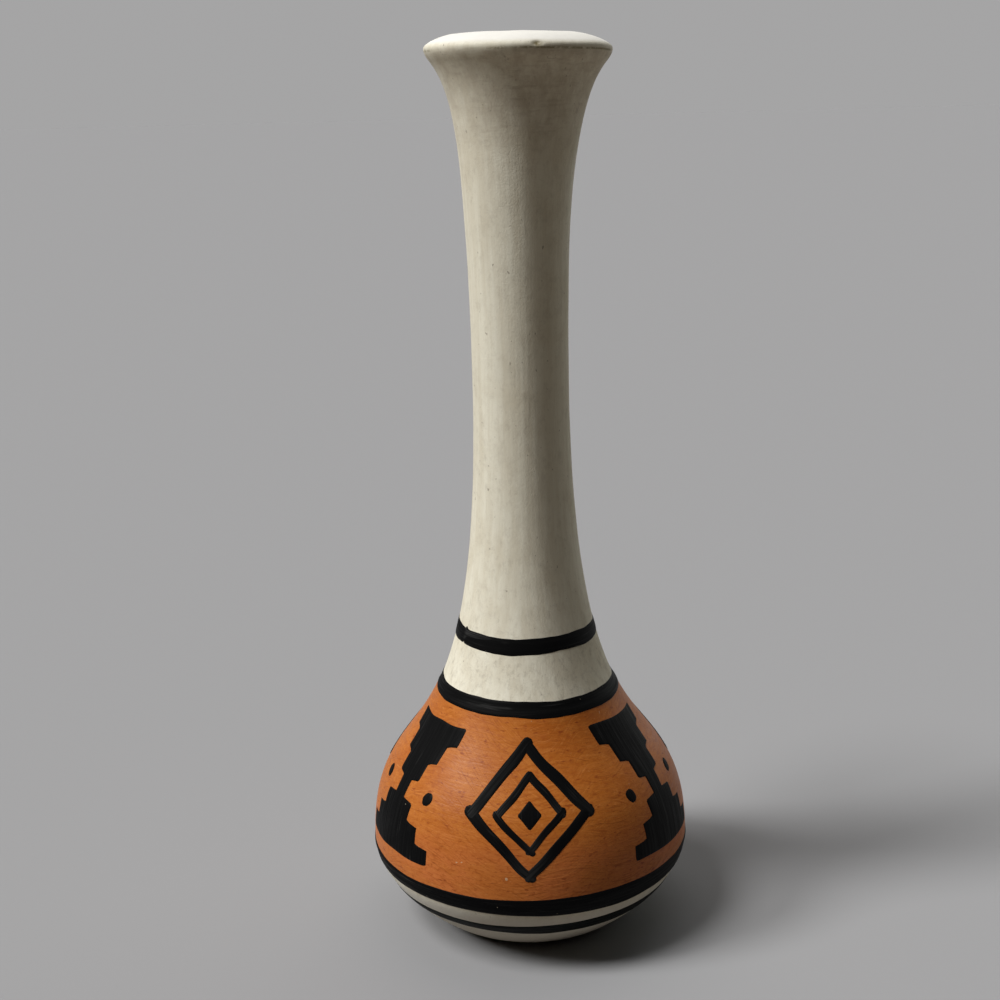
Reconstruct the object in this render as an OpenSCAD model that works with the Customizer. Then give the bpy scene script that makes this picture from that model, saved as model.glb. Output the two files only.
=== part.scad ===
/* [Body] */
// Overall height, from the table to the top of the lip
height = 203; // [190:1:225]
// Widest diameter of the clay bulb
belly_d = 73.8; // [64:0.2:84]
// Height of the widest place of the bulb
belly_h = 19; // [16:0.1:24]
// Narrowest diameter of the clay neck
waist_d = 21.1; // [19:0.1:27]
// Height of the narrowest place of the neck
waist_h = 129; // [112:1:140]
// Widest diameter of the clay lip
rim_d = 39.7; // [36:0.1:48]
// Diameter of the foot where it meets the table
foot_d = 38.4; // [32:0.1:44]

/* [Clay] */
// Thickness of the clay walls
wall = 3.4; // [2.6:0.1:4.6]
// Thickness of the floor of the bulb
floor_t = 5; // [4:0.1:8]
// Height of the crest of the lip above its widest place
lip_rise = 2.7; // [1.8:0.1:3.4]
// Distance of the crest of the lip in from its widest place
lip_inset = 6.4; // [5:0.1:7.5]
// Height of the rounded edge below the widest place of the lip
lip_drop = 2.3; // [1.4:0.1:3]
// Diameter of the hollow trimmed under the foot
hollow_d = 27; // [16:0.5:30]
// Depth of the hollow trimmed under the foot
hollow_depth = 0.9; // [0.4:0.1:1.6]

/* [Luted joint] */
// Depth of the step where the neck sits in the lower body
joint_step = 3.2; // [2:0.1:5]
// Thickness of the slip between the two clay sections
joint_slip_t = 0.4; // [0.3:0.05:0.8]

/* [Coats] */
// Thickness of the cream slip
slip_t = 0.3; // [0.2:0.05:0.5]
// Height of the bare clay between the table and the cream slip
bare_foot = 1; // [0.8:0.1:2]
// Depth to which the cream slip reaches down the bore, below the throat
slip_depth = 5; // [2:0.5:20]
// Thickness of the orange band
band_t = 0.2; // [0.15:0.05:0.4]
// Width by which the black rings lap over the edges of the orange band
ring_lap = 1.3; // [0.6:0.1:1.8]
// Thickness of the black paint
paint_t = 0.2; // [0.15:0.05:0.4]
// Thickness of the inner glaze
glaze_t = 0.3; // [0.2:0.05:0.6]

/* [Black rings] */
// Height of the lower edge of the thin ring above the foot
foot_ring_h = 9; // [7:0.1:10]
// Width of the thin ring above the foot
foot_ring_w = 3.2; // [1.4:0.1:4]
// Cream stripe between the thin ring and the broad ring below the belly
stripe_w = 3.6; // [2:0.1:5]
// Width of the broad ring below the belly
belly_ring_w = 4.3; // [2.8:0.1:5.5]
// Height of the orange that shows between the two rings on its edges
orange_h = 35.9; // [33:0.1:38]
// Width of the ring on the shoulder
shoulder_ring_w = 3.2; // [2.6:0.1:5]
// Height of the cream collar between the ring on the shoulder and the ring round the neck
collar_h = 10.1; // [7:0.1:16]
// Width of the ring round the neck
neck_ring_w = 3.6; // [2:0.1:6]

/* [Painted figures] */
// Number of diamonds, with as many solid figures between them
diamonds = 3; // [2:1:3]
// Width of a diamond
diamond_w = 29; // [22:0.5:32]
// Bare orange between the figures and the belly ring
margin_low = 3.8; // [2.5:0.1:7]
// Bare orange between the figures and the shoulder ring
margin_high = 3.4; // [2.5:0.1:7]
// Width of the outer line of a diamond
line_w = 2.2; // [1.4:0.1:2.6]
// Bare orange between the two lines of a diamond
line_gap = 2.2; // [1.4:0.1:2.6]
// Width of the inner line of a diamond
fine_line_w = 1.5; // [1:0.1:1.8]
// Width of the lozenge in the middle of a diamond
lozenge_w = 5.6; // [3:0.2:6]
// Number of steps from the waist of a solid figure to its head or foot
steps = 3; // [2:1:4]
// Width of a solid figure at its foot
figure_foot_w = 27; // [20:0.5:30]
// Width of a solid figure at its head
figure_head_w = 19; // [14:0.5:22]
// Width of a solid figure at its waist
figure_waist_w = 4.6; // [3:0.2:7]
// Diameter of the dots beside the waist of a solid figure
dot_d = 2.8; // [1.6:0.1:3.4]
// Distance of those dots from the middle of the figure
dot_side = 9.4; // [8:0.2:11]

/* [Hidden] */
$fn = 96;

// How far a cut or a trimming shape runs past what it cuts
overrun = 1;

belly_r = belly_d / 2;
waist_r = waist_d / 2;
rim_r = rim_d / 2;
foot_r = foot_d / 2;
crest_h = height - slip_t;
crest_r = rim_r - lip_inset;
tip_h = crest_h - lip_rise;

// The side of the vase is a run of smooth spans, each a cubic curve with a pull at either end.
// A pull share is the length of a pull, as a share of the width or height that its span covers.
foot_out_share = 0.31;
foot_up_share = 0.07;
under_belly_share = 0.35;
shoulder_share = 0.334;
neck_share = 0.892;
flare_start_share = 0.68;
flare_out_share = 0.67;
flare_up_share = 0.1;
lip_under_share = 0.3;
lip_over_share = 0.38;
lip_top_share = 0.29;
lip_inner_share = 0.7;
mouth_share = 0.6;

// The round edge of the lip starts this share of the flare's width in from the widest place.
edge_in_share = 0.12;
edge = [rim_r - edge_in_share * (rim_r - waist_r), tip_h - lip_drop];

// Steps along each span, and the step of the flare above which the wall thickens into the lip
foot_steps = 14;
shoulder_steps = 36;
flare_steps = 18;
throat_step = 10;
lip_steps = 8;

// The direction that points out of the clay, for a path that runs up its outside
function outward(v) = [v[1], -v[0]];

foot_span = [
    [foot_r, 0],
    [foot_r + foot_out_share * (belly_r - foot_r), foot_up_share * belly_h],
    [belly_r, (1 - under_belly_share) * belly_h],
    [belly_r, belly_h]
];
shoulder_span = [
    [belly_r, belly_h],
    [belly_r, belly_h + shoulder_share * (waist_h - belly_h)],
    [waist_r, waist_h - neck_share * (waist_h - belly_h)],
    [waist_r, waist_h]
];
flare_pull = [flare_out_share * (edge[0] - waist_r), flare_up_share * (edge[1] - waist_h)];
flare_heading = flare_pull / norm(flare_pull);
flare_span = [
    [waist_r, waist_h],
    [waist_r, waist_h + flare_start_share * (edge[1] - waist_h)],
    edge - flare_pull,
    edge
];
lip_under_span = [
    edge,
    edge + lip_under_share * lip_drop * flare_heading,
    [rim_r, tip_h - lip_under_share * lip_drop],
    [rim_r, tip_h]
];
lip_over_span = [
    [rim_r, tip_h],
    [rim_r, tip_h + lip_over_share * lip_rise],
    [crest_r + lip_top_share * lip_inset, crest_h],
    [crest_r, crest_h]
];
function on_span(p, t) =
    pow(1 - t, 3) * p[0] + 3 * pow(1 - t, 2) * t * p[1] + 3 * (1 - t) * pow(t, 2) * p[2] + pow(t, 3) * p[3];

function heading(p, t) =
    let(v = pow(1 - t, 2) * (p[1] - p[0]) + 2 * (1 - t) * t * (p[2] - p[1]) + pow(t, 2) * (p[3] - p[2]))
    v / norm(v);

// Places along a span without its last one, each with the direction out of the clay
function places(p, n, first = 0) = [
    for (k = [first : n - 1]) [on_span(p, k / n), outward(heading(p, k / n))]
];

side_places = concat(
    places(foot_span, foot_steps),
    places(shoulder_span, shoulder_steps),
    places(flare_span, flare_steps),
    [[edge, outward(flare_heading)]]
);

// The wall has one thickness up to the throat, where the inside turns out towards the crest.
inner_places = [for (k = [0 : foot_steps + shoulder_steps + throat_step]) side_places[k]];
throat = on_span(flare_span, throat_step / flare_steps)
    - wall * outward(heading(flare_span, throat_step / flare_steps));
lip_inner_span = [
    [crest_r, crest_h],
    [crest_r - lip_inner_share * (crest_r - throat[0]), crest_h],
    throat + mouth_share * (crest_h - throat[1]) * heading(flare_span, throat_step / flare_steps),
    throat
];
lip_places = concat(
    places(lip_under_span, lip_steps, 1),
    places(lip_over_span, lip_steps),
    [[[crest_r, crest_h], [0, 1]]]
);
mouth_places = places(lip_inner_span, lip_steps, 1);

// The outside of the clay from the foot up to the crest of the lip, raised by a coat
function outside(coat) = [for (q = concat(side_places, lip_places)) q[0] + coat * q[1]];

// The round of the lip from its crest down to the throat, raised by a coat
function mouth(coat) = [for (q = mouth_places) q[0] + coat * q[1]];

// The inside of the clay from the foot up to the throat, raised into the bore by a coat
function inside(coat) = [for (q = inner_places) q[0] - (wall + coat) * q[1]];

// A path's radius at a height, the path above a height, and the path between two heights
least_step = paint_t / 4;
function radius_at(path, h) = lookup(h, [for (p = path) [p[1], p[0]]]);
function above(path, low) = concat(
    [[radius_at(path, low), low]],
    [for (p = path) if (p[1] > low + least_step) p]
);
function between(path, low, high) = concat(
    [for (p = above(path, low)) if (p[1] < high - least_step) p],
    [[radius_at(path, high), high]]
);
function turned_back(path) = [for (k = [len(path) - 1 : -1 : 0]) path[k]];

// Heights of a coat's outer face over the clay
on_slip = slip_t;
on_band = on_slip + band_t;
on_paint = on_band + paint_t;

// The rings follow one another up from the foot.
belly_ring_h = foot_ring_h + foot_ring_w + stripe_w;
belly_ring_top = belly_ring_h + belly_ring_w;
shoulder_ring_h = belly_ring_top + orange_h;
shoulder_ring_top = shoulder_ring_h + shoulder_ring_w;
neck_ring_h = shoulder_ring_top + collar_h;

// The luted joint lies under the middle of the neck ring.
joint_h = neck_ring_h + neck_ring_w / 2;
spigot_h = joint_h - joint_step;
socket_r = radius_at(outside(0), joint_h) - wall / 2;
spigot_r = socket_r - joint_slip_t;

slip_end_h = throat[1] - slip_depth;
band_low = belly_ring_top - ring_lap;
band_high = shoulder_ring_h + ring_lap;

figure_low = belly_ring_top + margin_low;
figure_high = shoulder_ring_h - margin_high;
figure_mid = (figure_low + figure_high) / 2;
figure_h = figure_high - figure_low;
turn = 360 / diamonds;

module lower_body() {
    color("sienna")
        rotate_extrude()
            polygon(concat(
                between(outside(0), 0, joint_h),
                [[socket_r, joint_h], [socket_r, spigot_h]],
                turned_back(between(inside(0), floor_t, spigot_h)),
                [[0, floor_t], [0, hollow_depth], [hollow_d / 2, hollow_depth], [hollow_d / 2, 0]]
            ));
}

module neck() {
    foot_h = joint_h + joint_slip_t;
    tongue_h = spigot_h + joint_slip_t;
    color("sienna")
        rotate_extrude()
            polygon(concat(
                above(outside(0), foot_h),
                mouth(0),
                turned_back(above(inside(0), tongue_h)),
                [[spigot_r, tongue_h], [spigot_r, foot_h]]
            ));
}

// The slip fills the step between the two clay sections, from the outside in to the bore.
module joining_slip() {
    color("peru")
        rotate_extrude()
            polygon(concat(
                turned_back(between(outside(0), joint_h, joint_h + joint_slip_t)),
                [[socket_r, joint_h], [socket_r, spigot_h]],
                between(inside(0), spigot_h, spigot_h + joint_slip_t),
                [[spigot_r, spigot_h + joint_slip_t], [spigot_r, joint_h + joint_slip_t]]
            ));
}

module inner_glaze() {
    color("ivory")
        rotate_extrude()
            polygon(concat(
                [[0, floor_t]],
                between(inside(0), floor_t, slip_end_h),
                turned_back(between(inside(glaze_t), floor_t + glaze_t, slip_end_h)),
                [[0, floor_t + glaze_t]]
            ));
}

module cream_slip() {
    color("antiquewhite")
        rotate_extrude()
            polygon(concat(
                above(outside(0), bare_foot),
                mouth(0),
                turned_back(above(inside(0), slip_end_h)),
                above(inside(on_slip), slip_end_h),
                turned_back(mouth(on_slip)),
                turned_back(above(outside(on_slip), bare_foot))
            ));
}

// A turned skin between two heights, from one coat's face to another's
module skin(low, high, from_coat, to_coat) {
    rotate_extrude()
        polygon(concat(
            between(outside(from_coat), low, high),
            turned_back(between(outside(to_coat), low, high))
        ));
}

module orange_band() {
    color("chocolate") skin(band_low, band_high, on_slip, on_band);
}

module plain_ring(low, width) {
    color("black") skin(low, low + width, on_slip, on_slip + paint_t);
}

// A ring that covers an edge of the orange band, so that its inner face steps at the edge
module lapping_ring(low, high, edge_h, coat_below, coat_above) {
    color("black")
        rotate_extrude()
            polygon(concat(
                between(outside(coat_below), low, edge_h),
                between(outside(coat_above), edge_h, high),
                turned_back(between(outside(on_paint), low, high))
            ));
}

module shoulder_ring() {
    lapping_ring(shoulder_ring_h, shoulder_ring_top, band_high, on_band, on_slip);
}

module belly_ring() {
    lapping_ring(belly_ring_h, belly_ring_top, band_low, on_slip, on_band);
}

// Paint on the orange band in the outline of a flat figure, turned to face an angle
module painted(angle) {
    color("black")
        intersection() {
            skin(figure_low - overrun, figure_high + overrun, on_band, on_paint);
            rotate([0, 0, angle])
                translate([0, 0, figure_mid])
                    rotate([90, 0, 0])
                        linear_extrude(belly_r + on_paint + overrun)
                            children();
        }
}

module rhombus(half_w, half_h) {
    polygon([[half_w, 0], [0, half_h], [-half_w, 0], [0, -half_h]]);
}

// A rhombus of the diamond's slopes whose sides lie a distance in from the diamond's sides
module diamond_inset(inset) {
    half_w = diamond_w / 2;
    half_h = figure_h / 2;
    rest = 1 - inset * norm([half_w, half_h]) / (half_w * half_h);
    rhombus(half_w * rest, half_h * rest);
}

module diamond_line(inset, width) {
    difference() {
        diamond_inset(inset);
        diamond_inset(inset + width);
    }
}

module diamond_outer_line(k) {
    painted((k - 1) * turn) diamond_line(0, line_w);
}

module diamond_inner_line(k) {
    painted((k - 1) * turn) diamond_line(line_w + line_gap, fine_line_w);
}

module diamond_lozenge(k) {
    painted((k - 1) * turn) rhombus(lozenge_w / 2, lozenge_w * figure_h / diamond_w / 2);
}

// One side of a solid figure, with rows of even height that widen from the waist both ways
function figure_half_w(row) =
    let(end_w = row < 0 ? figure_foot_w : figure_head_w)
    (figure_waist_w + (end_w - figure_waist_w) * abs(row) / steps) / 2;

module solid_figure(k) {
    row_h = figure_h / (2 * steps + 1);
    side = [
        for (row = [-steps : steps])
            for (end = [-1, 1])
                [figure_half_w(row), (row + end / 2) * row_h]
    ];
    painted((k - 1 / 2) * turn)
        polygon(concat(side, turned_back([for (p = side) [-p[0], p[1]]])));
}

module figure_dots(k) {
    painted((k - 1 / 2) * turn)
        for (side = [-1, 1])
            translate([side * dot_side, 0]) circle(d = dot_d);
}

lower_body();
neck();
joining_slip();
inner_glaze();
cream_slip();
orange_band();
plain_ring(neck_ring_h, neck_ring_w);  // neck_ring
shoulder_ring();
belly_ring();
plain_ring(foot_ring_h, foot_ring_w);  // foot_ring
for (k = [1 : diamonds]) {
    diamond_outer_line(k);
    diamond_inner_line(k);
    diamond_lozenge(k);
    solid_figure(k);
    figure_dots(k);
}
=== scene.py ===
"""Looks for the bud vase: turned clay, brushed slip and paint, and a plain studio.

Lengths are in millimetres until world() turns them into metres. Angle 0 is the front of the vase, and angles
grow towards the viewer's right.
"""

import math

import bpy
import numpy as np
from mathutils import Matrix, Vector

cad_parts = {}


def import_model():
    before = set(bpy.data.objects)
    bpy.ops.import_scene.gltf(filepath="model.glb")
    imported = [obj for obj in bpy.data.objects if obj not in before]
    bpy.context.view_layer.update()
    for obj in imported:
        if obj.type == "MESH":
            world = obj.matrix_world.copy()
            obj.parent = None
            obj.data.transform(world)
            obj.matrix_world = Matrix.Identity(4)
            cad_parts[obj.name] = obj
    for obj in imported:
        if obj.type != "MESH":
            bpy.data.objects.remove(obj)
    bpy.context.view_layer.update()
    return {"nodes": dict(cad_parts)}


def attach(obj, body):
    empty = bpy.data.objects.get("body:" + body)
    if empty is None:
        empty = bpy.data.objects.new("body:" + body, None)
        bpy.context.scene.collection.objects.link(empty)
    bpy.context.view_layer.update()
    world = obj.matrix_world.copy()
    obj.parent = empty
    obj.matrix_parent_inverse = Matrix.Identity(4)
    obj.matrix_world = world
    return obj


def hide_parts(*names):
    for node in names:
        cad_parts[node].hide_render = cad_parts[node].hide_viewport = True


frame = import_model()

MM = 0.001
TURN = 2 * math.pi

# The turned profile, repeated from the solids
HEIGHT = 203.0
BELLY_R, BELLY_H = 36.9, 19.0
WAIST_R, WAIST_H = 10.55, 129.0
RIM_R, FOOT_R = 19.85, 19.2
WALL, FLOOR_T = 3.4, 5.0
LIP_RISE, LIP_INSET, LIP_DROP = 2.7, 6.4, 2.3
JOINT_H, JOINT_STEP, JOINT_SLIP_T = 71.1, 3.2, 0.4
BARE_FOOT, SLIP_DEPTH = 1.0, 5.0

# How far the handles of the profile's curves reach, as shares of the spans that they cross
FOOT_OUT, FOOT_UP, BELLY_LOW = 0.31, 0.07, 0.65
SHOULDER_UP, WAIST_DOWN, WAIST_UP = 0.334, 0.892, 0.68
FLARE_OUT, FLARE_UP, EDGE_IN = 0.67, 0.1, 0.12
UNDER_OUT, RIM_DOWN, RIM_UP, CREST_OUT = 0.72, 0.16, 0.38, 0.29
MOUTH_IN, THROAT_UP = 0.7, 0.6

# Points along each curve. The bore starts at the throat, level with a point on the flare.
FOOT_POINTS, SHOULDER_POINTS, FLARE_POINTS, THROAT_POINT = 80, 300, 163, 90
UNDER_POINTS, OVER_POINTS, MOUTH_POINTS = 30, 50, 60

# Thickness of each coat, the paint's nearer to the real one than in the solids, and how far a coat's hidden
# side reaches into what it lies on
SLIP_T, BAND_T, PAINT_T, GLAZE_T = 0.3, 0.2, 0.14, 0.3
SUNK = 0.05
ON_SLIP = SLIP_T
ON_BAND = ON_SLIP + BAND_T
RING_LAP = 1.3

# Over what length a coat's edge rounds off
SLIP_ROUNDING, BAND_ROUNDING, FILL_ROUNDING, RING_ROUNDING = 0.6, 0.5, 0.7, 1.2

# Heights of the rings' edges, and the painted figures
FOOT_RING = (9.0, 12.2)
BELLY_RING = (15.8, 20.1)
SHOULDER_RING = (56.0, 59.2)
NECK_RING = (69.3, 72.9)
FIGURES = (23.9, 52.6)
DIAMONDS = 3
DIAMOND_W, LINE_W, LINE_GAP, FINE_LINE_W, LOZENGE_W = 29.0, 2.2, 2.2, 1.5, 5.6
STEPS, FIGURE_FOOT_W, FIGURE_HEAD_W, FIGURE_WAIST_W = 3, 27.0, 19.0, 4.6
DOT_D, DOT_SIDE = 2.8, 9.4

CREST_H = HEIGHT - SLIP_T
CREST_R = RIM_R - LIP_INSET
TIP_H = CREST_H - LIP_RISE
EDGE = np.array([RIM_R - EDGE_IN * (RIM_R - WAIST_R), TIP_H - LIP_DROP])
FIGURE_MID = sum(FIGURES) / 2
FIGURE_HALF = (FIGURES[1] - FIGURES[0]) / 2

# What the hand left: a neck that leans a little at its head, a lip that waves and dips to one side, faint
# ridges from the turning, and a nick in the lip
LEAN, LEAN_FROM, LEAN_SPAN = 0.91, 160, 42
LIP_DIP, DIP_FROM, DIP_SPAN = 0.35, 170, 30
WAVY_FROM, WAVY_SPAN = 190, 10
CHIP_ANGLE, CHIP_H = math.radians(11), 200.3
CHIP_DEPTH, CHIP_WIDE, CHIP_HIGH = 0.4, 0.05, 0.5
EVEN_R = 5  # nearer to the axis than this, the unevenness fades out


def cubic(points, n):
    """Points along a Bezier curve from its four control points."""
    p = np.array(points, float)
    t = np.linspace(0, 1, n)[:, None]
    return (1 - t) ** 3 * p[0] + 3 * (1 - t) ** 2 * t * p[1] + 3 * (1 - t) * t**2 * p[2] + t**3 * p[3]


def headings(path):
    step = np.gradient(path, axis=0)
    return step / np.linalg.norm(step, axis=1)[:, None]


def outward(way):
    """The way out of the clay, to the right of the way along its outline."""
    return np.stack([way[..., 1], -way[..., 0]], -1)


def joined(*spans):
    """Spans of a path end to end, each starting on the last point of the one before."""
    return np.vstack([spans[0]] + [s[1:] for s in spans[1:]])


def clay_path():
    """The clay's outline, up the outside, over the lip and down the bore, with the way out of the clay.

    Also gives the number of the point on the lip's crest, and the throat's height.
    """
    rise = WAIST_H - BELLY_H
    flare = EDGE[1] - WAIST_H
    pull = np.array([FLARE_OUT * (EDGE[0] - WAIST_R), FLARE_UP * flare])
    way = pull / np.linalg.norm(pull)
    foot = [
        [FOOT_R, 0],
        [FOOT_R + FOOT_OUT * (BELLY_R - FOOT_R), FOOT_UP * BELLY_H],
        [BELLY_R, BELLY_LOW * BELLY_H],
        [BELLY_R, BELLY_H],
    ]
    shoulder = [
        [BELLY_R, BELLY_H],
        [BELLY_R, BELLY_H + SHOULDER_UP * rise],
        [WAIST_R, WAIST_H - WAIST_DOWN * rise],
        [WAIST_R, WAIST_H],
    ]
    neck = [[WAIST_R, WAIST_H], [WAIST_R, WAIST_H + WAIST_UP * flare], EDGE - pull, EDGE]
    under = [EDGE, EDGE + UNDER_OUT * LIP_DROP * way, [RIM_R, TIP_H - RIM_DOWN * LIP_DROP], [RIM_R, TIP_H]]
    over = [
        [RIM_R, TIP_H],
        [RIM_R, TIP_H + RIM_UP * LIP_RISE],
        [CREST_R + CREST_OUT * LIP_INSET, CREST_H],
        [CREST_R, CREST_H],
    ]
    flare_line = cubic(neck, FLARE_POINTS)
    below_throat = joined(
        cubic(foot, FOOT_POINTS), cubic(shoulder, SHOULDER_POINTS), flare_line[: THROAT_POINT + 1]
    )
    throat_way = headings(below_throat)[-1]
    throat = below_throat[-1] - WALL * outward(throat_way)
    inner = [
        [CREST_R, CREST_H],
        [CREST_R - MOUTH_IN * (CREST_R - throat[0]), CREST_H],
        throat + THROAT_UP * (CREST_H - throat[1]) * throat_way,
        throat,
    ]
    side = joined(below_throat, flare_line[THROAT_POINT:])
    bore = (below_throat - WALL * outward(headings(below_throat)))[::-1]
    lip = joined(cubic(under, UNDER_POINTS), cubic(over, OVER_POINTS))
    path = joined(side, lip, cubic(inner, MOUTH_POINTS), bore)
    return path, outward(headings(path)), len(side) + len(lip) - 2, throat[1]


PATH, PATH_OUT, CREST, THROAT_H = clay_path()
SLIP_END_H = THROAT_H - SLIP_DEPTH
PATH_S = np.concatenate([[0], np.cumsum(np.linalg.norm(np.diff(PATH, axis=0), axis=1))])


def coat_point(s, lift):
    """Radius and height at a distance along the outline, raised off the clay."""
    r = np.interp(s, PATH_S, PATH[:, 0]) + lift * np.interp(s, PATH_S, PATH_OUT[:, 0])
    z = np.interp(s, PATH_S, PATH[:, 1]) + lift * np.interp(s, PATH_S, PATH_OUT[:, 1])
    return r, z


def outside_at(z, lift=0.0):
    """Distance along the outline at which the outside, raised by lift, is at a height."""
    return np.interp(z, PATH[:CREST, 1] + lift * PATH_OUT[:CREST, 1], PATH_S[:CREST])


def bore_at(z, lift=0.0):
    """Distance along the outline at which the bore, raised by lift, is at a height."""
    heights = PATH[CREST:, 1] + lift * PATH_OUT[CREST:, 1]
    return np.interp(-np.asarray(z), -heights, PATH_S[CREST:])


def smooth(x):
    """A soft step from 0 to 1."""
    x = np.clip(x, 0, 1)
    return x * x * (3 - 2 * x)


def bump(x, middle, width):
    return np.exp(-(((x - middle) / width) ** 2))


def waves(seed, orders, size, falls=0.6):
    """A closed line of gentle waves round the vase, the same on each run."""
    rng = np.random.default_rng(seed)
    sizes = [size / k**falls for k in orders]
    phases = rng.uniform(0, TURN, len(sizes))
    return lambda angle: sum(a * np.cos(k * angle + p) for a, k, p in zip(sizes, orders, phases))


OUT_OF_ROUND = waves(3, (2, 3, 4, 5), 0.06)
LIP_WAVES = waves(8, (2, 3, 4, 5, 7, 9, 13), 0.1)


def from_front(angle):
    """An angle as its distance from the front, at most half a turn either way."""
    return (angle + math.pi) % TURN - math.pi


def lip_share(z):
    """How much of the lip's waves a height takes: none on the neck, and all of them on the lip."""
    return smooth((z - WAVY_FROM) / WAVY_SPAN)


def uneven(angle, z):
    """How far the hand-made surface stands off the turned one."""
    ridges = 0.006 * np.sin(z * 0.9 + angle) + 0.012 * np.sin(z * 0.37 - 2 * angle)
    lip = LIP_WAVES(angle) * lip_share(z)
    chip = CHIP_DEPTH * bump(from_front(angle), CHIP_ANGLE, CHIP_WIDE) * bump(z, CHIP_H, CHIP_HIGH)
    return OUT_OF_ROUND(angle) + ridges + lip - chip


def world(angle, r, z):
    """Points in metres from angles, radii and heights on the turned form, with what the hand left."""
    r = r + uneven(angle, z) * np.clip(r / EVEN_R, 0, 1)
    waved = 0.6 * LIP_WAVES(angle + 1.7) * lip_share(z)
    dipped = LIP_DIP * np.sin(angle) * r / RIM_R * smooth((z - DIP_FROM) / DIP_SPAN)
    x = r * np.sin(angle) + LEAN * smooth((z - LEAN_FROM) / LEAN_SPAN)
    return np.stack([x, -r * np.cos(angle), z + (waved - dipped)], -1) * MM


def grid_faces(n, m, first=0, round_n=False, round_m=False, turned=False):
    """Four-sided faces of a grid of n rows and m columns, closed round either way if asked."""
    i, j = np.meshgrid(np.arange(n - (not round_n)), np.arange(m - (not round_m)), indexing="ij")
    i2, j2 = (i + 1) % n, (j + 1) % m
    quads = np.stack([i * m + j, i2 * m + j, i2 * m + j2, i * m + j2], -1).reshape(-1, 4) + first
    return quads[:, ::-1] if turned else quads


def make_piece(name, points, faces, material, replaced, marks=None):
    """A smooth mesh that rides on the vase's one body. Marks are numbers kept at its points."""
    mesh = bpy.data.meshes.new(name)
    mesh.from_pydata(points.reshape(-1, 3).tolist(), [], faces.tolist())
    for mark, values in (marks or {}).items():
        several = values.shape[-1] == 3 and values.ndim > 1
        made = mesh.attributes.new(mark, "FLOAT_VECTOR" if several else "FLOAT", "POINT")
        made.data.foreach_set("vector" if several else "value", values.astype(np.float32).ravel())
    mesh.shade_smooth()
    mesh.set_sharp_from_angle(angle=math.radians(50))
    mesh.materials.append(material)
    piece = bpy.data.objects.new(name, mesh)
    bpy.context.scene.collection.objects.link(piece)
    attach(piece, "root")
    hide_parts(*replaced)
    return piece


def all_round(n):
    return np.linspace(0, TURN, n, endpoint=False)[:, None]


def turned_piece(name, angle, r, z, material, replaced, marks=None):
    """A closed solid whose section is given at each angle all round the vase."""
    n, m = r.shape
    faces = grid_faces(n, m, round_n=True, round_m=True)
    return make_piece(name, world(angle, r, z), faces, material, replaced, marks)


def skin(angle, top, low, first=0, round_n=False):
    """Points and faces of a closed thin skin between two grids of radius and height."""
    n, m = top[0].shape
    points = np.concatenate([world(angle, *grid).reshape(-1, 3) for grid in (top, low)])
    below = n * m
    lines = [([i * m for i in range(n)], False), ([i * m + m - 1 for i in range(n)], True)]
    if not round_n:
        lines += [(list(range(m)), True), ([(n - 1) * m + j for j in range(m)], False)]
    walls = []
    for line, flipped in lines:
        after = line[1:] + (line[:1] if round_n else [])
        for a, b in zip(line, after):
            quad = [b, a, a + below, b + below]
            walls.append(quad[::-1] if flipped else quad)
    faces = [
        grid_faces(n, m, round_n=round_n),
        grid_faces(n, m, below, round_n=round_n, turned=True),
        np.array(walls),
    ]
    return points, np.concatenate(faces) + first


class Skins:
    """Several skins in one mesh, with where each point lies in its brush mark and how dry the brush was."""

    def __init__(self):
        self.points, self.faces, self.brush, self.dry = [], [], [], []
        self.count = 0

    def add(self, angle, top, low, brush, dry):
        points, faces = skin(angle, top, low, first=self.count)
        self.points.append(points)
        self.faces.append(faces)
        self.brush.append(np.concatenate([brush.reshape(-1, 3)] * 2))
        self.dry.append(np.tile(np.broadcast_to(dry, top[0].shape).reshape(-1), 2))
        self.count += len(points)

    def piece(self, name, material, slot, replaced):
        marks = {"brush": np.concatenate(self.brush), "dry": np.concatenate(self.dry)}
        points, faces = np.concatenate(self.points), np.concatenate(self.faces)
        return make_piece(name, points, faces, material, replaced, marks)


# A brush mark's section: how far across each point lies, from -1 to 1, and how full the paint is there
ACROSS = np.sin(np.linspace(-math.pi / 2, math.pi / 2, 13))
BODY = np.sqrt(np.clip(1 - ACROSS**4, 0, 1))
BODY[[0, -1]] = -SUNK / PAINT_T

# The brush's strokes: how far they overrun, the wander of their middle line and of their edges, and how much
# fuller than their mean width they start and thinner they end
STROKE_STEP, OVERRUN = 0.45, 0.3
WANDER, BOW, EDGE_WANDER = 0.16, 0.22, 0.06
STARTS_FULLER, ENDS_THINNER = 0.1, 0.08

# Figures filled with paint
FILL_STEP, FILL_COLS = 0.3, 25

# The rings: their points, the waves of their edges, and the peak where the brush was set down
RING_STEPS = 340
RING_ORDERS, RING_FALLS = (2, 3, 4, 5, 7, 9, 12, 16, 23, 31), 0.85
LOW_WAVES, HIGH_WAVES, DRIFT = 0.26, 0.22, 0.12
NIB_HALF_W = 0.8


def round_end(share):
    """How wide a round end is, from 0 at its tip to 1 where the full width starts."""
    return np.sqrt(1 - (1 - share) ** 2)


def brushed_line(rng, n, size, slow=6):
    """A line of n values that wanders slowly, with faint shakes."""
    t = np.linspace(0, 1, n)
    return sum(
        rng.normal(0, size / k**0.8) * np.sin(math.pi * k * t + rng.uniform(0, 6.3)) for k in range(1, slow)
    )


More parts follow.
